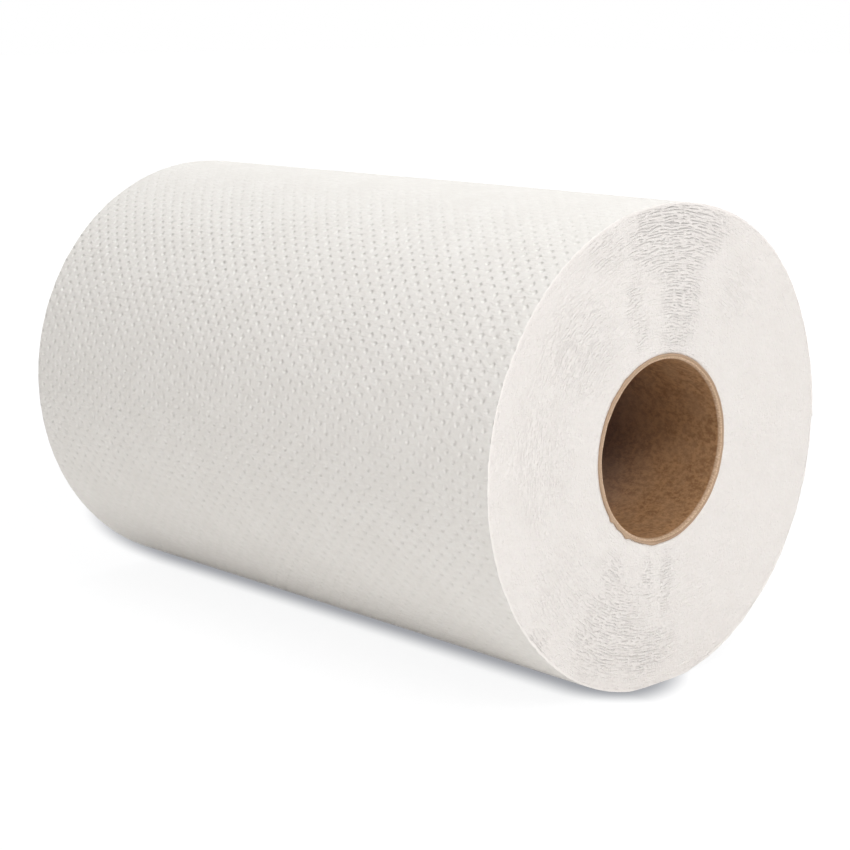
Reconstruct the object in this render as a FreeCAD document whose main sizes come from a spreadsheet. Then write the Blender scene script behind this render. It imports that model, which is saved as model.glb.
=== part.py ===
import FreeCAD
import Part
import Sketcher
import math
import os

# Paper towel roll lying on its side, as one long sheet wound on a paperboard core.
# The roll's axis runs along X. The origin is under the middle of the roll, on the
# surface that it lies on, and Z is up. All sizes are millimetres.
DIMENSIONS = {
    "roll_width": 200.0,     # width of the sheet, which is the roll's length along X
    "roll_diameter": 133.0,  # over the outermost turn
    "flat_width": 20.0,      # width of the flat that the soft roll rests on
    "edge_radius": 2.4,      # softness of the outer turns' edges at both ends
    "tail_thickness": 0.3,   # height of the sheet's loose end over the turn below it
    "turn_spacing": 4.4,     # radial distance between the turns that show as lines
    "turn_gap": 0.6,         # width of the line between two turns
    "turn_depth": 0.5,       # depth of that line in the sawn end
    "core_diameter": 51.6,   # outside of the paperboard core
    "core_wall": 1.5,        # thickness of the paperboard
}

# Position numbers of an arc's or a line's points in a sketch. The sketch's own origin
# is the first point of its horizontal axis.
START, END, CENTRE = range(1, 4)
ORIGIN = (-1, START)
H_AXIS = ORIGIN[0]

# Directions in a sketch's plane, in degrees.
RIGHT, LEFT, DOWN, RIGHT_AGAIN = 0, 180, 270, 360
HALF_TURN = 180

# Spacings from the core to the first line between two turns, at the front.
FIRST_LINE = 1.5

ROLL_RADIUS = "sizes.roll_diameter / 2"
CORE_RADIUS = "sizes.core_diameter / 2"
# Height of the axis over the flat: the lower half of the outermost turn is centred
# half the sheet's thickness in front of the axis, with a radius smaller by as much,
# and the flat is a chord of that circle.
AXIS_HEIGHT = (
    "sqrt((sizes.roll_diameter / 2 - sizes.tail_thickness / 2) ^ 2"
    " - (sizes.flat_width / 2) ^ 2)"
)


def make_sizes(doc):
    """The driving dimensions, one named cell each."""
    sheet = doc.addObject("Spreadsheet::Sheet", "sizes")
    for row, (name, value) in enumerate(DIMENSIONS.items(), start=1):
        sheet.set(f"A{row}", name)
        sheet.set(f"B{row}", str(value))
        sheet.setAlias(f"B{row}", name)
    doc.recompute()
    return sheet


def make_body(doc, name):
    """Body whose own origin is on the roll's axis, lifted to its height over the floor."""
    body = doc.addObject("PartDesign::Body", name)
    body.Label = name
    body.setExpression(".Placement.Base.z", AXIS_HEIGHT)
    return body


def origin_plane(body, role):
    return next(f for f in body.Origin.OriginFeatures if f.Role == role)


def make_sketch(body, name, role):
    """Sketch on one of the body's origin planes."""
    sketch = body.newObject("Sketcher::SketchObject", name)
    sketch.AttachmentSupport = [(origin_plane(body, role), "")]
    sketch.MapMode = "FlatFace"
    return sketch


def drive(sketch, kind, where, value, expression):
    """Dimension of a sketch, bound to the sizes by an expression."""
    index = sketch.addConstraint(Sketcher.Constraint(kind, *where, value))
    sketch.setExpression(f"Constraints[{index}]", expression)


def point(x, y):
    return FreeCAD.Vector(x, y, 0)


def circle(x, y, radius):
    return Part.Circle(point(x, y), FreeCAD.Vector(0, 0, 1), radius)


def arc(x, y, radius, first, last):
    """Arc about (x, y), counterclockwise between two angles in degrees."""
    first, last = math.radians(first), math.radians(last)
    return Part.ArcOfCircle(circle(x, y, radius), first, last)


def line(x1, y1, x2, y2):
    return Part.LineSegment(point(x1, y1), point(x2, y2))


def join(first, first_end, second, second_end):
    return Sketcher.Constraint("Coincident", first, first_end, second, second_end)


def on_axis(geometry, end):
    return Sketcher.Constraint("PointOnObject", geometry, end, H_AXIS)


def draw_winding(body, sheet):
    """Cross-section of the wound sheet, seen along X with the rear to the right.

    The outline is the outermost turn. Its upper half is a half circle that ends at
    the rear in the thickness of the sheet's loose end. Its lower half starts below
    that end, reaches the front flush, and is cut off at the bottom by the flat.
    """
    radius = sheet.get("roll_diameter") / 2
    thickness = sheet.get("tail_thickness")
    half_flat = sheet.get("flat_width") / 2
    low_x, low_radius = -thickness / 2, radius - thickness / 2
    turn = math.degrees(math.asin(half_flat / low_radius))
    low_y = -math.sqrt(low_radius**2 - half_flat**2)

    sketch = make_sketch(body, "winding_section", "YZ_Plane")
    over, front, flat, rear, tail, bore = sketch.addGeometry([
        arc(0, 0, radius, RIGHT, LEFT),
        arc(low_x, 0, low_radius, LEFT, DOWN - turn),
        line(low_x - half_flat, low_y, low_x + half_flat, low_y),
        arc(low_x, 0, low_radius, DOWN + turn, RIGHT_AGAIN),
        line(radius - thickness, 0, radius, 0),
        circle(0, 0, sheet.get("core_diameter") / 2),
    ])
    sketch.addConstraint([
        join(over, CENTRE, *ORIGIN),
        join(bore, CENTRE, *ORIGIN),
        join(over, END, front, START),
        join(front, END, flat, START),
        join(flat, END, rear, START),
        join(rear, END, tail, START),
        join(tail, END, over, START),
        join(front, CENTRE, rear, CENTRE),
        on_axis(over, START),
        on_axis(over, END),
        on_axis(front, CENTRE),
        Sketcher.Constraint("Equal", front, rear),
        Sketcher.Constraint("Horizontal", flat),
        Sketcher.Constraint("Horizontal", tail),
    ])
    drive(sketch, "Radius", (over,), radius, ROLL_RADIUS)
    drive(sketch, "Radius", (bore,), sheet.get("core_diameter") / 2, CORE_RADIUS)
    width = (tail, START, tail, END)
    drive(sketch, "DistanceX", width, thickness, "sizes.tail_thickness")
    drive(sketch, "DistanceX", (flat, START, flat, END), 2 * half_flat, "sizes.flat_width")
    return sketch


def hold_low_axis(sketch, axis, forward, expression):
    """Places the lower half's centre line in front of the body's axis, seen from above."""
    sketch.addConstraint([
        Sketcher.Constraint("Horizontal", axis),
        Sketcher.Constraint("Vertical", *ORIGIN, axis, START),
    ])
    drive(sketch, "DistanceY", (axis, START, *ORIGIN), forward, expression)
    drive(sketch, "DistanceX", (axis, START, axis, END), forward, expression)


def draw_edge(body, sheet):
    """What the soft edge takes off one end of the outermost turn, seen from above.

    The edge is two bevels, which are equal chords of a quarter round. The section lies
    at the front, level with the axis, where the upper and the lower half of the
    outermost turn meet. Its first construction line is the lower half's centre line.
    """
    radius = sheet.get("roll_diameter") / 2
    end_x = sheet.get("roll_width") / 2
    bend = sheet.get("edge_radius")
    low = sheet.get("tail_thickness") / 2
    x, y = end_x - bend, bend - radius
    far_x, far_y = end_x + bend, -radius - bend
    slant = bend * math.sqrt(0.5)

    sketch = make_sketch(body, "edge_section", "XY_Plane")
    low_axis, quarter = sketch.addGeometry([
        line(0, -low, low, -low),
        arc(x, y, bend, DOWN, RIGHT_AGAIN),
    ], True)
    side, end, out, away, back, inward = sketch.addGeometry([
        line(x, -radius, x + slant, y - slant),
        line(x + slant, y - slant, end_x, y),
        line(end_x, y, far_x, y),
        line(far_x, y, far_x, far_y),
        line(far_x, far_y, x, far_y),
        line(x, far_y, x, -radius),
    ])
    hold_low_axis(sketch, low_axis, low, "sizes.tail_thickness / 2")
    sketch.addConstraint([
        join(side, START, quarter, START),
        join(side, END, end, START),
        join(end, END, quarter, END),
        join(end, END, out, START),
        join(out, END, away, START),
        join(away, END, back, START),
        join(back, END, inward, START),
        join(inward, END, side, START),
        Sketcher.Constraint("PointOnObject", side, END, quarter),
        Sketcher.Constraint("Equal", side, end),
        Sketcher.Constraint("Horizontal", quarter, CENTRE, quarter, END),
        Sketcher.Constraint("Vertical", quarter, CENTRE, quarter, START),
        Sketcher.Constraint("Horizontal", out),
        Sketcher.Constraint("Vertical", away),
        Sketcher.Constraint("Horizontal", back),
        Sketcher.Constraint("Vertical", inward),
    ])
    drive(sketch, "DistanceX", (*ORIGIN, quarter, END), end_x, "sizes.roll_width / 2")
    height = f"{ROLL_RADIUS} - sizes.edge_radius"
    drive(sketch, "DistanceY", (quarter, CENTRE, *ORIGIN), -y, height)
    drive(sketch, "Radius", (quarter,), bend, "sizes.edge_radius")
    drive(sketch, "DistanceX", (out, START, out, END), bend, "sizes.edge_radius")
    drive(sketch, "DistanceY", (inward, START, inward, END), bend, "sizes.edge_radius")
    return sketch


def draw_turns(body, sheet):
    """Lines between the turns in one end, as a row of notches seen from above.

    The notches lie at the front, level with the axis. Swept over the top about the
    axis, each reaches the rear at its own radius. Swept under about the first
    construction line, half a spacing in front of the axis, it comes up one spacing
    further in, at the next notch's radius. Together they are one spiral.
    """
    spacing = sheet.get("turn_spacing")
    half_gap = sheet.get("turn_gap") / 2
    depth = sheet.get("turn_depth")
    end_x = sheet.get("roll_width") / 2
    tip_x = end_x - depth
    first = sheet.get("core_diameter") / 2 + FIRST_LINE * spacing
    last = sheet.get("roll_diameter") / 2 - sheet.get("edge_radius") - half_gap
    lines = int((last - first) / spacing) + 1

    sketch = make_sketch(body, "turns_section", "XY_Plane")
    low_y = -spacing / 2
    low_axis = sketch.addGeometry(line(0, low_y, spacing / 2, low_y), True)
    hold_low_axis(sketch, low_axis, spacing / 2, "sizes.turn_spacing / 2")
    for number in range(lines):
        y = -first - number * spacing
        outer, inner, mouth = sketch.addGeometry([
            line(end_x, y - half_gap, tip_x, y),
            line(tip_x, y, end_x, y + half_gap),
            line(end_x, y + half_gap, end_x, y - half_gap),
        ])
        sketch.addConstraint([
            join(outer, END, inner, START),
            join(inner, END, mouth, START),
            join(mouth, END, outer, START),
            Sketcher.Constraint("Equal", outer, inner),
            Sketcher.Constraint("Vertical", mouth),
        ])
        end = "sizes.roll_width / 2 - sizes.turn_depth"
        height = f"{CORE_RADIUS} + {FIRST_LINE + number} * sizes.turn_spacing"
        drive(sketch, "DistanceX", (*ORIGIN, outer, END), tip_x, end)
        drive(sketch, "DistanceY", (outer, END, *ORIGIN), -y, height)
        drive(sketch, "DistanceX", (outer, END, mouth, START), depth, "sizes.turn_depth")
        drive(sketch, "DistanceY", (mouth, END, mouth, START), 2 * half_gap, "sizes.turn_gap")
    return sketch


def cut_half_turns(doc, body, name, section):
    """Sweeps a section at the front over the top, and under about its own low axis."""
    over = body.newObject("PartDesign::Groove", f"{name}_over")
    over.Profile = section
    over.ReferenceAxis = (section, ["H_Axis"])
    over.Angle = HALF_TURN
    over.Reversed = True
    doc.recompute()
    under = body.newObject("PartDesign::Groove", f"{name}_under")
    under.Profile = section
    under.ReferenceAxis = (section, ["Axis0"])
    under.Angle = HALF_TURN
    doc.recompute()
    check_cut(over, under)
    return [over, under]


def make_towel_roll(doc, sheet):
    """The wound sheet: one soft solid on the core, with both sawn ends alike."""
    body = make_body(doc, "towel_roll")

    winding = body.newObject("PartDesign::Pad", "winding")
    winding.Profile = draw_winding(body, sheet)
    winding.SideType = "Symmetric"
    winding.setExpression("Length", "sizes.roll_width")
    doc.recompute()

    edge = cut_half_turns(doc, body, "edge", draw_edge(body, sheet))
    turns = cut_half_turns(doc, body, "turns", draw_turns(body, sheet))

    ends = body.newObject("PartDesign::Mirrored", "both_ends")
    ends.Originals = edge + turns
    ends.MirrorPlane = (origin_plane(body, "YZ_Plane"), [""])
    body.Tip = ends
    doc.recompute()

    check_cut(winding, edge[0])
    check_cut(edge[-1], turns[0])
    check_cut(turns[-1], ends)
    return body


def make_core_tube(doc, sheet):
    """The paperboard tube in the middle, sawn off flush with the sheet at both ends."""
    body = make_body(doc, "core_tube")
    radius = sheet.get("core_diameter") / 2
    bore_radius = radius - sheet.get("core_wall")

    sketch = make_sketch(body, "tube_section", "YZ_Plane")
    outside, inside = sketch.addGeometry([circle(0, 0, radius), circle(0, 0, bore_radius)])
    sketch.addConstraint([join(outside, CENTRE, *ORIGIN), join(inside, CENTRE, *ORIGIN)])
    drive(sketch, "Radius", (outside,), radius, CORE_RADIUS)
    drive(sketch, "Radius", (inside,), bore_radius, f"{CORE_RADIUS} - sizes.core_wall")

    tube = body.newObject("PartDesign::Pad", "tube")
    tube.Profile = sketch
    tube.SideType = "Symmetric"
    tube.setExpression("Length", "sizes.roll_width")
    doc.recompute()
    return body


def check_cut(before, after):
    """A feature that cuts must leave less material than it found."""
    if after.Shape.Volume >= before.Shape.Volume:
        raise RuntimeError(f"{after.Label} took nothing off {before.Label}")


def check_document(doc, bodies):
    """Stops at any object that failed, and at any sub-part that isn't one valid solid."""
    for item in doc.Objects:
        if "Invalid" in item.State or "Error" in item.State:
            raise RuntimeError(f"{item.Label} failed: {item.State}")
    for body in bodies:
        shape = body.Shape
        if shape.isNull() or not shape.isValid() or len(shape.Solids) != 1:
            raise RuntimeError(f"{body.Label} isn't one valid solid")


def main():
    doc = FreeCAD.newDocument("paper_towel_roll")
    sheet = make_sizes(doc)
    bodies = [make_towel_roll(doc, sheet), make_core_tube(doc, sheet)]
    doc.recompute()
    check_document(doc, bodies)
    os.makedirs("parts", exist_ok=True)
    for body in bodies:
        body.Shape.exportStep(f"parts/{body.Label}.step")
        box = body.Shape.BoundBox
        print(f"{body.Label}: {box.XLength:.2f} x {box.YLength:.2f} x {box.ZLength:.2f} mm,"
              f" {body.Shape.Volume / 1000:.1f} cm3")


main()
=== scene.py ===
import bpy
import numpy as np
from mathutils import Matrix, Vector


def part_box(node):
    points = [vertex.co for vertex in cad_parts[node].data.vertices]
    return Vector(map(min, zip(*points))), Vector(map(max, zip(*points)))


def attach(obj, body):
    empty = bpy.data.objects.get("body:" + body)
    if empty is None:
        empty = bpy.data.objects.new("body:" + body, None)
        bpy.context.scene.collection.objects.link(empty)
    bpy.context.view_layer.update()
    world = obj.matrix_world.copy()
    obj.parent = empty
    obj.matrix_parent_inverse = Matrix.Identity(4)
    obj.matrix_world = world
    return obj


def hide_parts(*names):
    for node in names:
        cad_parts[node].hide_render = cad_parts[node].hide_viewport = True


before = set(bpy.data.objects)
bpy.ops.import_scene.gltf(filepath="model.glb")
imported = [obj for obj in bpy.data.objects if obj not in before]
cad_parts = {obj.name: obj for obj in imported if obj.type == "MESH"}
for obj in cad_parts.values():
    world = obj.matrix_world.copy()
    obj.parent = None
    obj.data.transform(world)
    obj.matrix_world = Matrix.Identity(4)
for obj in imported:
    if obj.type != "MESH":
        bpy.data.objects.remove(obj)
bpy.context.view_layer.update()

# The core: a tube of brown paperboard that the paper is wound on. Both ends were cut with the
# roll by one saw, which crushed the bore's edge a little, split the plies of the rim apart and
# left a few torn fibres on it.

axis_height = (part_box("core_tube")[0].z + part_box("core_tube")[1].z) / 2
core_outer = 0.0258
core_bore = 0.0243
core_end = 0.1
core_columns = 240
split_depth = 0.00045


def soft_noise(across, along, cells, seed):
    """Random heights from -1 to 1 on a lattice of cells, joined smoothly: each height is the mean
    of the four lattice heights round it, weighted by 3t^2 - 2t^3. It repeats after 1 both ways."""
    lattice = np.random.default_rng(seed).uniform(-1, 1, cells)
    u = np.asarray(across) * cells[0]
    v = np.asarray(along) * cells[1]
    u0 = np.floor(u).astype(int)
    v0 = np.floor(v).astype(int)
    u = u - u0
    v = v - v0
    u = u * u * (3 - 2 * u)
    v = v * v * (3 - 2 * v)
    u1 = (u0 + 1) % cells[0]
    v1 = (v0 + 1) % cells[1]
    u0 = u0 % cells[0]
    v0 = v0 % cells[1]
    low = lattice[u0, v0] * (1 - v) + lattice[u0, v1] * v
    high = lattice[u1, v0] * (1 - v) + lattice[u1, v1] * v
    return low * (1 - u) + high * u


def closed_ring(name, x, radius, angle, falling=None, floor=None):
    """A closed profile carried round the roll's axis and closed on itself, so the surface has no
    edge. Rows follow the profile, columns go round: y = radius * cos(angle) and
    z = axis height + radius * sin(angle). What would lie below the floor's height is pressed up
    to just above it. Each cell is two triangles, split along its falling diagonal where falling
    is true and along its rising one elsewhere."""
    rows, columns = radius.shape
    y = radius * np.cos(angle)
    z = axis_height + radius * np.sin(angle)
    if floor is not None:
        z = np.where(z < floor, floor * np.exp(np.minimum(z / floor - 1, 0)), z)
    points = np.stack([np.broadcast_to(x, radius.shape), y, z], axis=2)
    here = np.arange(rows * columns).reshape(rows, columns)
    beside = np.roll(here, -1, axis=1)
    beyond = np.roll(here, -1, axis=0)
    across = np.roll(beside, -1, axis=0)
    if falling is None:
        falling = np.zeros((rows, columns), bool)
    first = np.stack([here, beside, np.where(falling, beyond, across)], axis=2)
    second = np.stack([np.where(falling, beside, here), across, beyond], axis=2)
    corners = np.concatenate([first.reshape(-1, 3), second.reshape(-1, 3)])
    mesh = bpy.data.meshes.new(name)
    mesh.vertices.add(rows * columns)
    mesh.vertices.foreach_set("co", points.reshape(-1).astype(np.float32))
    mesh.loops.add(corners.size)
    mesh.loops.foreach_set("vertex_index", corners.reshape(-1).astype(np.int32))
    mesh.polygons.add(len(corners))
    mesh.polygons.foreach_set("loop_start", np.arange(0, corners.size, 3, dtype=np.int32))
    mesh.update(calc_edges=True)
    mesh.validate()
    mesh.shade_smooth()
    piece = bpy.data.objects.new(name, mesh)
    bpy.context.scene.collection.objects.link(piece)
    return piece


def give_values(piece, name, values):
    """Stores one number, or three, for each point of a piece, for its material to read."""
    kind = "FLOAT" if values.ndim == 2 else "FLOAT_VECTOR"
    layer = piece.data.attributes.new(name, kind, "POINT")
    field = "value" if kind == "FLOAT" else "vector"
    layer.data.foreach_set(field, values.reshape(-1).astype(np.float32))


class Wire:
    """A socket in a material's nodes. Sums and products of wires and numbers add Math nodes."""

    def __init__(self, tree, socket=None):
        self.tree = tree
        self.socket = socket

    def node(self, kind, settings=None, inputs=None, output=0):
        made = self.tree.nodes.new("ShaderNode" + kind)
        for name, setting in (settings or {}).items():
            setattr(made, name, setting)
        for name, value in (inputs or {}).items():
            named = [s for s in made.inputs if s.enabled and s.name == name]
            socket = made.inputs[name] if isinstance(name, int) else named[0]
            if isinstance(value, Wire):
                self.tree.links.new(value.socket, socket)
            else:
                socket.default_value = value
        return Wire(self.tree, made.outputs[output])

    def math(self, operation, first, second=0.0):
        return self.node("Math", {"operation": operation}, {0: first, 1: second})

    def __add__(self, other):
        return self.math("ADD", self, other)

    def __radd__(self, other):
        return self.math("ADD", other, self)

    def __sub__(self, other):
        return self.math("SUBTRACT", self, other)

    def __rsub__(self, other):
        return self.math("SUBTRACT", other, self)

    def __mul__(self, other):
        return self.math("MULTIPLY", self, other)

    def __rmul__(self, other):
        return self.math("MULTIPLY", other, self)

    def between(self, low, high):
        """0 below low, 1 above high, and a smooth rise from one to the other."""
        limits = {"Value": self, "From Min": low, "From Max": high}
        return self.node("MapRange", {"interpolation_type": "SMOOTHSTEP"}, limits)

    def greater(self, other):
        """The larger of this and another value."""
        return self.math("MAXIMUM", self, other)

    def vector(self, operation, first, second=(0, 0, 0), output="Vector"):
        return self.node("VectorMath", {"operation": operation}, {0: first, 1: second}, output)

    def length(self, place):
        return self.vector("LENGTH", place, output="Value")

    def part(self, place, axis):
        """One of a place's three numbers."""
        return self.node("SeparateXYZ", inputs={"Vector": place}, output=axis)

    def attribute(self, name, kind):
        """What give_values stored on the piece: Fac for a number, Vector for three."""
        return self.node("Attribute", {"attribute_name": name}, output=kind)

    def noise(self, place, scale, detail=2.0, roughness=0.5):
        """Cloudy noise round 0.5, as a number."""
        inputs = {"Vector": place, "Scale": scale, "Detail": detail, "Roughness": roughness}
        return self.node("TexNoise", {}, inputs)

    def stretched(self, place, scale):
        """A place with each of its three numbers multiplied."""
        return self.vector("MULTIPLY", place, scale)

    def blend(self, amount, first, second):
        """The first colour where amount is 0, the second where it is 1."""
        colours = {"Factor": amount, "A": first, "B": second}
        return self.node("Mix", {"data_type": "RGBA"}, colours, output="Result")

    def bump(self, strength, distance):
        """The surface's direction, tilted by this height."""
        inputs = {"Strength": strength, "Distance": distance, "Height": self}
        return self.node("Bump", inputs=inputs)

    def into(self, shader, name):
        """Joins this to one of the shader's sockets."""
        self.tree.links.new(self.socket, shader.inputs[name])


def new_material(name):
    """An empty material, a wire to start from, and its shader, which is joined to the output."""
    material = bpy.data.materials.new(name)
    material.use_nodes = True
    tree = material.node_tree
    tree.nodes.clear()
    shader = tree.nodes.new("ShaderNodeBsdfPrincipled")
    output = tree.nodes.new("ShaderNodeOutputMaterial")
    tree.links.new(shader.outputs["BSDF"], output.inputs["Surface"])
    return material, Wire(tree), shader


# half of the profile, from the middle of the outside to the middle of the bore: x and radius.
# Points 3 and 4 are the rim's outer edge, 6 and 7 the split between its plies, and the same
# points counted back from core_rows are those of the far end.
core_profile = np.array([
    (0.0, core_outer), (core_end - 0.0022, core_outer), (core_end - 0.0008, core_outer),
    (core_end - 0.00015, core_outer), (core_end + 0.0001, core_outer - 0.00012),
    (core_end + 0.0001, core_outer - 0.00040), (core_end, core_outer - 0.00060),
    (core_end, core_outer - 0.00078), (core_end + 0.0001, core_bore + 0.00055),
    (core_end - 0.0001, core_bore + 0.00030), (core_end - 0.0004, core_bore + 0.00014),
    (core_end - 0.0009, core_bore + 0.00004), (core_end - 0.0020, core_bore),
    (core_end - 0.0060, core_bore), (core_end - 0.02, core_bore), (core_end - 0.05, core_bore),
    (0.0, core_bore)])
core_rows = 2 * len(core_profile) - 2
core_x = np.concatenate([core_profile[:, 0], -core_profile[-2:0:-1, 0]])
core_radius = np.concatenate([core_profile[:, 1], core_profile[-2:0:-1, 1]])
turn = np.arange(core_columns) / core_columns
angle = 2 * np.pi * turn[None, :]
x = np.repeat(core_x[:, None], core_columns, axis=1)
radius = np.repeat(core_radius[:, None], core_columns, axis=1)
row = np.arange(core_rows)[:, None]
near_end = np.clip((np.abs(x) - (core_end - 0.001)) / 0.001, 0, 1)
end = (x > 0) * 0.5 + 0.1
wander = soft_noise(turn[None, :], end, (17, 3), 1)
wander = wander + 0.6 * soft_noise(turn[None, :], end, (60, 5), 2)
x = x + np.sign(x) * near_end * 0.00012 * wander
split = np.isin(row, (6, 7, core_rows - 6, core_rows - 7))
opened = np.clip(0.45 + np.cos(angle + 0.2), 0, 1) + 0.3 * soft_noise(turn[None, :], end, (40, 4), 3)
x = x - np.sign(x) * split * split_depth * np.clip(opened, 0, 1)
# torn fibres stand out over the paper at a few places on the rim: degrees, width and height
outer_edge = np.isin(row, (3, 4, core_rows - 3, core_rows - 4))
torn = 0 * angle
for place, width, height in ((218, 1.6, 0.0009), (226, 1.3, 0.0005), (236, 2.2, 0.0008),
                             (128, 3.0, 0.0005), (143, 2.0, 0.0004), (262, 4.0, 0.0003)):
    gap = (np.degrees(angle) - place + 180) % 360 - 180
    torn = torn + height * np.exp(-(gap / width) ** 2)
radius = radius + outer_edge * torn
x = x + np.sign(x) * outer_edge * (torn > 0.0001) * 0.00012
radius = radius + 0.00006 * soft_noise(turn[None, :], 0.5 + x * 4, (24, 6), 4)
core = closed_ring("core_board", x, radius, angle)

paperboard, wire, shader = new_material("brown_paperboard")
place = wire.node("TexCoord", output="Object")
from_middle = wire.math("ABSOLUTE", wire.part(place, "X"))
from_axis = wire.stretched(wire.vector("SUBTRACT", place, (0, 0, axis_height)), (0, 1, 1))
# painted shading: the outer ply of the rim, under a millimetre wide, is painted a darker tan along
# the rim's outer edge
painted_outer_rim_shading = wire.length(from_axis).between(core_outer - 0.0009, core_outer - 0.00055)
deep = 1 - from_middle.between(0.03, 0.085)
cut = from_middle.between(core_end - 0.0013, core_end - 0.0006)
fibres = wire.noise(wire.stretched(place, (620, 800, 800)), 1.0, 4.0, 0.7)
clouds = wire.noise(place, 150.0, 3.0, 0.6)
specks = wire.noise(wire.stretched(place, (1400, 2300, 2300)), 1.0, 2.0, 0.5)
inside = wire.blend(fibres.between(0.36, 0.64), (0.268, 0.140, 0.064, 1), (0.455, 0.255, 0.121, 1))
inside = wire.blend(clouds.between(0.35, 0.75) * 0.5, inside, (0.47, 0.283, 0.152, 1))
# painted shading: in the middle of the bore, where deep is 1, the brown is blended to a darker,
# greyer tone
inside = wire.blend(deep, inside, (0.30, 0.228, 0.232, 1))
rim = wire.blend(specks.between(0.35, 0.7), (0.50, 0.34, 0.22, 1), (0.68, 0.50, 0.355, 1))
rim = wire.blend(painted_outer_rim_shading, rim, (0.46, 0.325, 0.225, 1))
colour = wire.blend(cut, inside, rim)
colour.into(shader, "Base Color")
shader.inputs["Roughness"].default_value = 0.85
shader.inputs["Specular IOR Level"].default_value = 0.3
height = fibres * 0.7 + specks * 0.5
height.bump(0.6, 0.00012).into(shader, "Normal")
core.data.materials.append(paperboard)
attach(core, "root")
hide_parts("core_tube")


# The wound turns: some hundred metres of soft paper on the core, seen at both ends, where the
# saw left the edges of the turns as one smooth face. Where the turns are slack the edges
# buckle into short arcs, most of all over the top and in a strip above the core.

roll_radius = 0.0665
roll_end = 0.1
tail_thickness = 0.00035
lowest = 0.0004
face_rows = 112
face_columns = 400
face_gap = 0.00058
lay_round = 7.5
lay_outward = 0.00045


def body_radius(x, angle):
    """The roll's radius: its own, less a sheet's thickness by the end of the turn below the tail,
    plus a bulge behind of 1.4 sin(2 angle)^2 (0.6 + 0.4 sin(angle)) mm, less half a millimetre
    pressed in low behind, both weaker towards the far end, less 0.6 sin(angle)^6 mm over the
    top, plus soft waves of a fifth of a millimetre."""
    turned = np.mod(angle, 2 * np.pi)
    below = np.clip((turned - np.pi) / np.pi, 0, 1)
    behind = np.clip(0.5 + 2.5 * np.cos(angle), 0, 1)
    share = 0.8 + 2.0 * x
    bulge = 0.0014 * np.sin(2 * angle) ** 2 * behind * behind * (3 - 2 * behind) * share
    bulge = bulge * (0.6 + 0.4 * np.sin(angle))
    pressed = 0.0005 * np.exp(-((np.degrees(turned) - 318) / 18) ** 2) * share
    waves = soft_noise(0.5 + 2.5 * x, turned / (2 * np.pi), (4, 7), 11)
    waves = waves + 0.5 * soft_noise(0.5 + 2.5 * x, turned / (2 * np.pi), (9, 13), 12)
    lowered = 0.0006 * np.clip(np.sin(angle), 0, 1) ** 6
    return roll_radius - tail_thickness * below + bulge - pressed - lowered + 0.0002 * waves


# the places where the arcs show: centre in mm from the axis, half widths in mm and strength
slack_places = (
    (4, 61, 15, 7, 1.0), (11, 57, 12, 7, 0.8), (-6, 56, 9, 7, 0.7), (-24, 55, 8, 6, 0.25),
    (5, 50, 9, 7, 0.7), (6, 40, 7, 10, 0.75), (5, 31, 7, 5, 0.5), (-13, 41, 3, 7, 0.35),
    (-10, 33, 3, 5, 0.3), (-20, -46, 14, 12, 0.45), (-6, -55, 12, 7, 0.42), (2, -37, 2.6, 9, 0.5),
    (-5.5, -36, 2, 8, 0.4), (-20, -31, 5, 6, 0.4), (-50, -44, 6, 5, 0.3), (-46, 6, 14, 26, 0.15),
    (-34, 30, 15, 15, 0.25), (-38, -30, 15, 15, 0.14), (30, 40, 14, 14, 0.12))


def slackness(y, z, end):
    """How much the edges buckle, from 0 to 1: the largest of the places, each its strength times
    e to the minus cube of the distance from its centre, which is counted in its half widths. The
    far end has them the other way round."""
    amount = np.full(y.shape, 0.06)
    for middle, height, wide, tall, strength in slack_places:
        across = (y * 1000 * end - middle) / wide
        upward = (z * 1000 - height) / tall
        amount = np.maximum(amount, strength * np.exp(-(across ** 2 + upward ** 2) ** 1.5))
    return amount


def buckle(radius, angle, end):
    """Height of the face in metres: two noises drawn out along the turns, with cells 0.8 and
    0.5 mm wide and some five times as long, times the slackness, plus a broad unevenness."""
    y = radius * np.cos(angle)
    z = radius * np.sin(angle)
    turned = np.mod(angle / (2 * np.pi), 1)
    outward = radius / 0.08
    seed = 20 if end > 0 else 30
    drift = 0.012 * soft_noise(outward, turned, (5, 9), seed)
    arcs = soft_noise(outward + drift, turned, (100, 96), seed + 1)
    arcs = 1 - 2 * np.abs(arcs) ** 0.8
    fine = soft_noise(outward + drift, turned, (150, 150), seed + 2)
    amount = slackness(y, z, end)
    patchy = 0.75 + 0.5 * soft_noise(outward, turned, (9, 30), seed + 3)
    broad = soft_noise(outward, turned, (5, 8), seed + 4)
    return amount * patchy * (0.00006 * arcs + 0.00007 * fine) + 0.00012 * broad


def lay_of(radius, angle):
    """A place for noise that follows the turns: once round is 47 steps and 0.45 mm outward is
    one, and it meets itself after a turn."""
    angle = angle + 0 * radius
    across = lay_round * np.cos(angle)
    upward = lay_round * np.sin(angle)
    return np.stack([across, upward, radius / lay_outward], axis=2)


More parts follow.
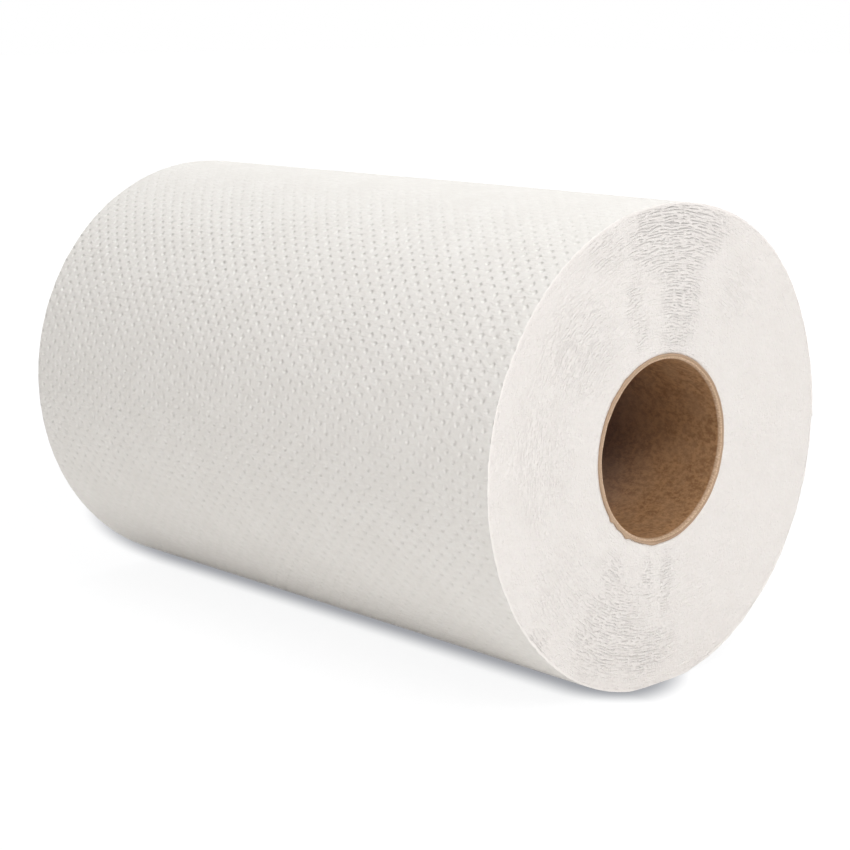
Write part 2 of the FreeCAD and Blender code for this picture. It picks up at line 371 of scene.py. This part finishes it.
turn = np.arange(face_columns) / face_columns
angle = 2 * np.pi * turn[None, :]
share = np.linspace(0, 1, face_rows)[:, None]
parts = []
for end in (1, -1):
    outer = body_radius(end * roll_end + 0 * angle, angle) - face_gap
    seam = np.clip(1 - np.abs((np.mod(turn + 0.5, 1) - 0.5) / 0.006), 0, 1)[None, :]
    outer = outer - 0.0002 * seam
    radius = core_outer + (outer - core_outer) * share
    hollow = 0.00035 * np.exp(-((radius - core_outer) / 0.0006) ** 2)
    x = end * (roll_end - 0.00002 + buckle(radius, angle, end) - hollow)
    parts.append((x, radius))
x = np.concatenate([parts[0][0][::-1], parts[1][0]])
radius = np.concatenate([parts[0][1][::-1], parts[1][1]])
turns = closed_ring("wound_turns", x, radius, angle, floor=lowest)
give_values(turns, "lay", lay_of(radius, angle))
slack = slackness(radius * np.cos(angle), radius * np.sin(angle), np.where(x > 0, 1, -1))
give_values(turns, "slack", slack)

edge_paper, wire, shader = new_material("sawn_paper_edges")
place = wire.node("TexCoord", output="Object")
lay = wire.attribute("lay", "Vector")
slack = wire.attribute("slack", "Fac")
# creases: a ripple every 0.8 mm outward, shifted by one noise and cut into dashes by another
outward = wire.part(lay, "Z")
drift = wire.noise(wire.stretched(lay, (1.2, 1.2, 0.24)), 1.0, 1.0, 0.5)
ripple = wire.math("SINE", outward * 3.5 + drift * 16.0)
broken = wire.noise(wire.stretched(lay, (4.8, 4.8, 0.95)), 1.0, 0.0, 0.5).between(0.43, 0.56)
crease = ripple.between(0.2, 1.0) * broken
lines = wire.noise(wire.stretched(lay, (2.2, 2.2, 1.2)), 1.0, 1.0, 0.5)
uneven = wire.noise(place, 900.0, 2.0, 0.55)
grain = wire.noise(place, 2200.0, 3.0, 0.6)
clouds = wire.noise(place, 120.0, 3.0, 0.55)
warm = wire.blend(clouds.between(0.3, 0.7), (0.885, 0.841, 0.807, 1),
                  (0.897, 0.855, 0.822, 1))
warm = wire.blend(grain.between(0.55, 0.8) * 0.25, warm, (0.79, 0.735, 0.69, 1))
# painted shading: the creases are painted a darker grey, more where the turns are slack
warm = wire.blend(crease * (slack - 0.05) * 0.5, warm, (0.56, 0.53, 0.51, 1))
warm.into(shader, "Base Color")
shader.inputs["Roughness"].default_value = 0.95
shader.inputs["Specular IOR Level"].default_value = 0.15
height = lines * (slack * 2.0 + 0.5) + grain * 2.0
height = height + uneven * (slack * 9.0 + 1.6) * (1 - slack)
height = height - crease * (slack * 9.0)
height.bump(0.7, 0.0003).into(shader, "Normal")
turns.data.materials.append(edge_paper)
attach(turns, "root")
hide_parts("towel_roll")


# The outermost turn: one sheet of soft white paper, pressed between rollers into staggered
# rows of small pits, its edges cut with the ends by the saw. Its torn tail stands a little off
# the turn below, at the back, and most at the far end.

pitch = 0.00485
pitches = 41
row_pairs = 89
cells_along = 6 * pitches
cells_round = 4 * row_pairs
edge_radius = 0.00012
lip = 0.0006
pit_depth = 0.00032
pit_half_length = 0.00066
pit_half_width = 0.00064
loose_height = 0.0007
scallop_height = 0.00013


def pressing(degrees):
    """How deep the pits are, from 0 to 1: a fifth over the top, all of it from 42 degrees to
    either side, and three fifths underneath, where the roll has lain on other rolls."""
    top = np.clip((np.abs(degrees - 90) - 15) / 27, 0, 1)
    low = np.clip((degrees - 163) / 25, 0, 1) * np.clip((330 - degrees) / 40, 0, 1)
    return (0.2 + 0.8 * top) * (1 - 0.4 * low)


along = np.arange(cells_along + 1)[:, None]
around = np.arange(cells_round + 1)[None, :]
shift_x = np.zeros((cells_along + 1, cells_round + 1))
shift_round = np.zeros_like(shift_x)
sunk = np.zeros_like(shift_x)
stray_x = np.zeros_like(shift_x)
stray_round = np.zeros_like(shift_x)
centre = np.zeros_like(shift_x, bool)
cell_length = pitch / 6
cell_width = 2 * np.pi * roll_radius / cells_round
for set_number, (first_along, first_around) in enumerate(((0, 0), (3, 2))):
    from_along = (along - first_along + 3) % 6 - 3
    from_around = (around - first_around + 2) % 4 - 2
    pit_along = (along - from_along - first_along) // 6
    pit_around = (around - from_around - first_around) // 4
    pit_x = pit_along * 6 + first_along
    pit_round = pit_around * 4 + first_around
    whole = (pit_x > 0) & (pit_x < cells_along)
    whole = whole & (pit_round > 1) & (pit_round < cells_round - 1)
    inside_pit = (np.abs(from_along) <= 1) & (np.abs(from_around) <= 1) & whole
    diagonal = np.where((from_along != 0) & (from_around != 0), 0.72, 1.0)
    random = np.random.default_rng(40 + set_number).uniform(-1, 1, (4, pitches + 2, row_pairs + 2))
    pick = random[:, np.clip(pit_along, 0, pitches + 1), np.clip(pit_around, 0, row_pairs + 1)]
    patch = soft_noise(along / cells_along, around / cells_round, (7, 13), 42)
    worn = pressing(around / cells_round * 360)
    depth = pit_depth * (0.85 + 0.28 * patch) * (1 + 0.3 * pick[0]) * worn
    target_x = from_along * pit_half_length * diagonal - from_along * cell_length
    target_round = from_around * pit_half_width * diagonal - from_around * cell_width
    shift_x = np.where(inside_pit, target_x, shift_x)
    shift_round = np.where(inside_pit, target_round, shift_round)
    stray_x = np.where(inside_pit, 0.00013 * pick[1], stray_x)
    stray_round = np.where(inside_pit, 0.00008 * pick[2], stray_round)
    middle = inside_pit & (from_along == 0) & (from_around == 0)
    sunk = np.where(middle, depth, np.where(inside_pit, -0.1 * depth, sunk))
    centre = centre | middle

# the profile: the pitted outside, then over one narrow edge, the lip on the face, the unseen
# inner side and back over the other edge. Each row has its x, how far it lies under the outside
# and whether it faces the end.
edge_x = np.array([roll_end - edge_radius, roll_end])
edge_drop = np.array([0, edge_radius])
lip_drop = edge_radius + lip * np.array([0.5, 1.0, 1.1])
lip_x = roll_end - np.array([0, 0, 0.0004])
side_x = np.concatenate([edge_x, lip_x])
side_drop = np.concatenate([edge_drop, lip_drop])
outside_x = (np.arange(cells_along + 1) - cells_along / 2) * cell_length
profile_x = np.concatenate([outside_x, side_x, -side_x[::-1]])
profile_drop = np.concatenate([np.zeros(cells_along + 1), side_drop, side_drop[::-1]])
facing = np.array([0.0, 1, 1, 1, 1])
facing = np.concatenate([np.zeros(cells_along + 1), facing, facing[::-1]])

# round the roll: whole cells from the tail's edge round to where it comes down on the turn
# below, and two more columns under the tail, which close the step
turned = np.arange(cells_round + 1) / cells_round * 2 * np.pi
x = np.repeat(profile_x[:, None], cells_round + 1, axis=1)
drop = np.repeat(profile_drop[:, None], cells_round + 1, axis=1)
angle = np.repeat(turned[None, :], len(profile_x), axis=0)
x[:cells_along + 1] += shift_x
angle[:cells_along + 1] += shift_round / roll_radius
strength = pressing(np.degrees(angle))
sheet_place = np.stack([x + outside_x[-1], angle * roll_radius, strength], axis=2)
sheet_place = np.concatenate([sheet_place, sheet_place[:, -1:], sheet_place[:, -1:]], axis=1)
x[:cells_along + 1] += stray_x
angle[:cells_along + 1] += stray_round / roll_radius
last = angle[:, -1:]
hidden = np.concatenate([last + 0.012, last + 0.0119], axis=1)
outer = body_radius(x, np.minimum(angle, 2 * np.pi - 1e-9))
loose = loose_height * (0.7 + 0.5 * soft_noise(0.5 + 2.5 * x, 0.7, (7, 3), 48))
loose = loose * np.exp(-(angle / 0.07) ** 2) * np.clip(0.5 - 5 * x, 0.1, 1)
outer = outer + loose
outer[:cells_along + 1] -= sunk
lifted = outer[:, :1]
under = np.concatenate([lifted - tail_thickness * 0.95, lifted - tail_thickness * 0.35], axis=1)
tear = 0.00022 * (np.arange(len(profile_x)) % 2)[:, None]
tear = tear + 0.0003 * soft_noise(0.5 + 2.5 * x[:, :1], 0.3, (11, 3), 44)
angle[:, :1] += tear / roll_radius
angle = np.concatenate([angle, hidden], axis=1)
x = np.concatenate([x, x[:, :1], x[:, :1]], axis=1)
drop = np.concatenate([drop, drop[:, :1], drop[:, :1]], axis=1)
radius = np.concatenate([outer, under], axis=1) - drop
facing = facing[:, None]
face_height = np.where(x > 0, buckle(radius, angle, 1), buckle(radius, angle, -1))
scallops = soft_noise(0.5 + 2.5 * x, angle / (2 * np.pi), (3, row_pairs * 2), 46)
scallops = scallops + soft_noise(0.5 + 2.5 * x, angle / (2 * np.pi), (3, 37), 47)
at_end = np.abs(x) > roll_end - lip
x = x + np.sign(x) * (facing * face_height + scallop_height * scallops * at_end)

# cells are split along the diagonal that meets a pit's centre, and elsewhere the shorter one
hole = np.zeros(radius.shape, bool)
hole[:cells_along + 1, :cells_round + 1] = centre
rising_length = 0
falling_length = 0
for flat in (x, angle * roll_radius):
    rising_length = rising_length + (np.roll(flat, (-1, -1), (0, 1)) - flat) ** 2
    falling_length = falling_length + (np.roll(flat, -1, 0) - np.roll(flat, -1, 1)) ** 2
falling = falling_length < rising_length
falling = np.where(hole | np.roll(hole, (-1, -1), (0, 1)), False, falling)
falling = np.where(np.roll(hole, -1, 0) | np.roll(hole, -1, 1), True, falling)
wrap = closed_ring("outer_wrap", x, radius, angle, falling, floor=lowest)
wrap.data.set_sharp_from_angle(angle=np.radians(44))
give_values(wrap, "lay", lay_of(radius, angle))
slack = slackness(radius * np.cos(angle), radius * np.sin(angle), np.where(x > 0, 1, -1))
give_values(wrap, "slack", slack * facing)
give_values(wrap, "sheet", sheet_place)
give_values(wrap, "face", facing + 0 * x)

soft_paper, wire, shader = new_material("soft_white_paper")
place = wire.node("TexCoord", output="Object")
sheet = wire.attribute("sheet", "Vector")
lay = wire.attribute("lay", "Vector")
slack = wire.attribute("slack", "Fac")
face = wire.attribute("face", "Fac")
strength = wire.part(sheet, "Z")
crepe = wire.noise(wire.stretched(sheet, (420, 1900, 0)), 1.0, 3.0, 0.6)
fibre = wire.noise(wire.stretched(sheet, (2600, 2100, 0)), 1.0, 3.0, 0.65)
clouds = wire.noise(place, 90.0, 3.0, 0.55)
patchy = wire.noise(place, 45.0, 2.0, 0.5)
rumple = wire.noise(wire.stretched(sheet, (480, 750, 0)), 1.0, 2.0, 0.5)
arcs = wire.noise(wire.stretched(lay, (1.1, 1.1, 0.5)), 1.0, 3.0, 0.6)
arcs = wire.math("ABSOLUTE", arcs - 0.5)


def pit_rows(wire, sheet, offset):
    """How far a point is from the nearest pit of one set, in half pits: the place is counted in
    pitches, what is left after whole ones is scaled to the pit's half length and half width."""
    counted = wire.stretched(sheet, (1 / pitch, 1 / (4 * cell_width), 0))
    counted = wire.vector("ADD", counted, (offset + 0.5, offset + 0.5, 0))
    left = wire.vector("SUBTRACT", wire.vector("FRACTION", counted), (0.5, 0.5, 0))
    left = wire.stretched(left, (pitch / pit_half_length, 4 * cell_width / pit_half_width, 0))
    return wire.length(left)


nearest = wire.math("MINIMUM", pit_rows(wire, sheet, 0.0), pit_rows(wire, sheet, 0.5))
pit = (1.35 - nearest).between(0.0, 1.2) * (patchy + 0.5) * strength * (1 - face)
white = wire.blend(clouds.between(0.3, 0.7), (0.862, 0.838, 0.798, 1),
                   (0.890, 0.868, 0.830, 1))
white = wire.blend(fibre.between(0.5, 0.8) * 0.3, white, (0.79, 0.76, 0.71, 1))
white = wire.blend(rumple.between(0.35, 0.65) * 0.5, white, (0.835, 0.805, 0.765, 1))
white = wire.blend(face, white, (0.892, 0.850, 0.816, 1))
white.into(shader, "Base Color")
shader.inputs["Roughness"].default_value = 0.95
shader.inputs["Specular IOR Level"].default_value = 0.15
height = rumple * 1.5 + crepe * 0.8 + fibre * 0.9 + arcs * slack * 2.2 - pit * 1.7
height.bump(0.7, 0.0003).into(shader, "Normal")
wrap.data.materials.append(soft_paper)
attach(wrap, "root")
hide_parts("towel_roll")


# The studio: a white table top that runs off to white all round, six soft lamps and even light
# from everywhere else. What the camera sees of the table is lifted to white, so the lamps'
# shadow shows faintly. The narrow dark shadow along the roll is a painted shadow: in a strip
# round the roll the table's emission and colour are made darker, whatever the lamps do.


def seen_directly(wire):
    """1 for what the camera sees, straight, mirrored or through glass, and 0 for other light."""
    seen = wire.node("LightPath", output="Is Camera Ray")
    mirrored = wire.node("LightPath", output="Is Glossy Ray")
    through = wire.node("LightPath", output="Is Transmission Ray")
    return seen.greater(mirrored).greater(through)


reach = 6.0
steps = np.linspace(-reach, reach, 3)
corner_x, corner_y = np.meshgrid(steps, steps, indexing="ij")
table_points = np.stack([corner_x, corner_y, 0 * corner_x], axis=2).reshape(-1, 3)
here = np.arange(9).reshape(3, 3)
table_faces = np.stack([here[:-1, :-1], here[1:, :-1], here[1:, 1:], here[:-1, 1:]], axis=2)
table_faces = table_faces.reshape(-1, 4)
mesh = bpy.data.meshes.new("table_top")
mesh.from_pydata(table_points.tolist(), [], table_faces.tolist())
table = bpy.data.objects.new("table_top", mesh)
bpy.context.scene.collection.objects.link(table)
white_table, wire, shader = new_material("white_table")
shader.inputs["Roughness"].default_value = 0.9
shader.inputs["Specular IOR Level"].default_value = 0.0
seen = seen_directly(wire)
place = wire.node("TexCoord", output="Object")
# the painted shadow: how far a place is past the near end and to either side of the axis, where
# the strip bends and widens to the rear beyond the far end, and fades there
painted_shadow_end = 0.0855
painted_shadow_edge = (0.0165, 0.0285)
along = wire.part(place, "X")
across = wire.part(place, "Y")
beyond = (-roll_end - along).greater(0.0)
past = (along - painted_shadow_end + (across + 0.012).greater(0.0) * 0.35).greater(0.0)
across = across - beyond * (beyond * 3.7 + 0.06)
across = (0 - across).greater(across - beyond * 0.4).greater(0.0)
away = wire.length(wire.node("CombineXYZ", inputs={"X": past, "Y": across}))
painted_shadow = (1 - away.between(*painted_shadow_edge)) * (1 - beyond.between(0.03, 0.13))
# painted shadow: inside the strip, what the camera sees of the table gets a dark grey emission and a
# colour of 0.03, whatever the lamps do
lift_and_painted_shadow = wire.blend(painted_shadow, (0.91, 0.912, 0.915, 1), (0.335, 0.343, 0.368, 1))
lift_and_painted_shadow = wire.blend(wire.length(place).between(0.25, 0.6), lift_and_painted_shadow, (1.0, 1.0, 1.0, 1))
lift_and_painted_shadow = wire.blend(seen, (0, 0, 0, 1), lift_and_painted_shadow)
tint = wire.blend(painted_shadow, (0.12, 0.12, 0.12, 1), (0.03, 0.03, 0.03, 1))
tint = wire.blend(seen, (0.93, 0.925, 0.92, 1), tint)
lift_and_painted_shadow.into(shader, "Emission Color")
tint.into(shader, "Base Color")
shader.inputs["Emission Strength"].default_value = 1.0
table.data.materials.append(white_table)

world = bpy.data.worlds.new("white_room")
bpy.context.scene.world = world
world.use_nodes = True
world.node_tree.nodes.clear()
wire = Wire(world.node_tree)
seen = seen_directly(wire)
room = wire.blend(seen, (0.20, 0.20, 0.20, 1), (1.0, 1.0, 1.0, 1))
sky = wire.node("Background", inputs={"Color": room, "Strength": 1.0})
output = world.node_tree.nodes.new("ShaderNodeOutputWorld")
world.node_tree.links.new(sky.socket, output.inputs["Surface"])


def soft_lamp(name, place, aim, size, power, colour):
    """A square lamp of one size, at a place, turned to face the point that it is aimed at."""
    light = bpy.data.lights.new(name, "AREA")
    light.shape = "SQUARE"
    light.size = size
    light.energy = power
    light.color = colour
    lamp = bpy.data.objects.new(name, light)
    lamp.location = place
    lamp.rotation_euler = (Vector(aim) - Vector(place)).to_track_quat("-Z", "Y").to_euler()
    bpy.context.scene.collection.objects.link(lamp)


soft_lamp("overhead_lamp", (-0.1, 0.16, 1.32), (0, 0, 0.06), 0.8, 7.8, (0.98, 0.99, 1.0))
soft_lamp("end_lamp", (0.95, -0.25, 1.0), (0.1, 0, 0.06), 0.5, 9.0, (1.0, 1.0, 1.0))
soft_lamp("low_lamp", (0.1, -0.9, 0.06), (0, 0, 0.04), 0.4, 1.65, (1.0, 0.97, 0.96))
soft_lamp("near_lamp", (0.42, -0.5, 0.03), (0.1, -0.03, 0.01), 0.3, 0.32, (1.0, 0.98, 0.97))
soft_lamp("rear_lamp", (1.2, 0.25, 0.06), (0.1, 0, 0.04), 0.6, 2.5, (1.0, 1.0, 1.0))
soft_lamp("back_lamp", (-1.0, 0.7, 0.6), (-0.05, 0, 0.06), 0.8, 4.6, (1.0, 1.0, 1.0))

# the camera: a little above the roll's top, in front of its cut end, looking down 12 degrees
view_from = Vector((0.4437, -0.4127, 0.1822))
view_along = Vector((-0.7117, 0.6728, -0.2019))
lens = bpy.data.cameras.new("camera")
lens.lens = 86.44
lens.sensor_width = 36.0
lens.clip_start = 0.01
lens.clip_end = 50.0
camera = bpy.data.objects.new("camera", lens)
camera.location = view_from
camera.rotation_euler = view_along.to_track_quat("-Z", "Y").to_euler()
bpy.context.scene.collection.objects.link(camera)
bpy.context.scene.camera = camera
bpy.context.scene.view_settings.view_transform = "Standard"
